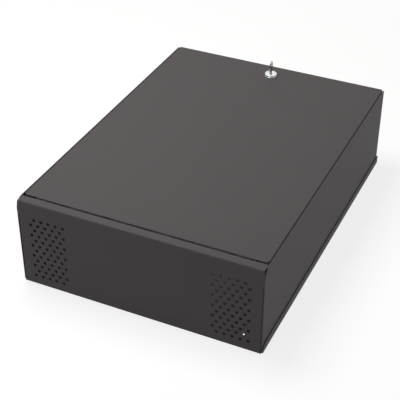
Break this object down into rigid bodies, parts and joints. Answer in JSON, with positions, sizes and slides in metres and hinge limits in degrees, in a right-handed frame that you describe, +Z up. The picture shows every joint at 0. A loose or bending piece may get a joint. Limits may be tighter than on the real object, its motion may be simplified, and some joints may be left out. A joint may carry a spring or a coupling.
{
  "type": "recorder lock box",
  "caption": "Low sheet-steel lock box for a recorder: hinged flush lid with a keyed cam lock, vented front panel, open bay, rear fan and cable opening.",
  "frame": {"origin": "midway between the sides and the ends of the box, on the surface that it stands on", "axes": "+X across the box, +Y towards the lock end (the vented panel faces -Y), +Z up"},
  "size_m": [0.403, 0.559, 0.1812],
  "materials": {
    "powder_coat": "charcoal satin powder coat",
    "zinc_steel": "bright zinc plate",
    "steel": "drawn steel",
    "chrome_plate": "polished chrome plate",
    "key_nickel": "nickel plate",
    "brass_wafer": "plain brass",
    "fan_plastic": "black moulded plastic",
    "rubber": "black rubber"
  },
  "bodies": {
    "box": {"base_tray": "powder_coat", "body_shell": "powder_coat", "front_vent_panel": "powder_coat", "lock_catch": "powder_coat", "hinge_rail": "powder_coat", "hinge_leaf_fixed": "zinc_steel", "hinge_pin": "steel", "cable_edge_trim": "rubber", "fan_frame": "fan_plastic", "fan_spider": "fan_plastic", "fan_bearing": "brass_wafer", "fan_terminals": "brass_wafer", "fan_screws": "zinc_steel", "fan_nuts": "zinc_steel"},
    "lid": {"lid": "powder_coat", "hinge_leaf_moving": "zinc_steel", "lock_housing": "chrome_plate", "lock_washer": "zinc_steel", "lock_nut": "zinc_steel"},
    "lock_cylinder": {"lock_plug": "chrome_plate", "lock_wafers": "brass_wafer", "cam_stop_washer": "zinc_steel", "lock_cam": "zinc_steel", "cam_spring_washer": "steel", "cam_screw": "zinc_steel"},
    "key": {"key": "key_nickel"},
    "fan_rotor": {"fan_rotor": "fan_plastic", "fan_clip": "steel"}
  },
  "joints": [
    {"name": "lid_hinge", "type": "hinge", "parent": "box", "child": "lid", "pos_m": [0, -0.2568, 0.1482], "axis": [1, 0, 0], "range_deg": [0, 100]},
    {"name": "lock_turn", "type": "hinge", "parent": "lid", "child": "lock_cylinder", "pos_m": [0, 0.2415, 0.1525], "axis": [0, 0, 1], "range_deg": [0, 90]},
    {"name": "key_slide", "type": "slide", "parent": "lock_cylinder", "child": "key", "axis": [0, 0, 1], "range_m": [0, 0.03]},
    {"name": "fan_spin", "type": "hinge", "parent": "box", "child": "fan_rotor", "pos_m": [0.105, 0.2635, 0.07625], "axis": [0, 1, 0], "continuous": true}
  ]
}
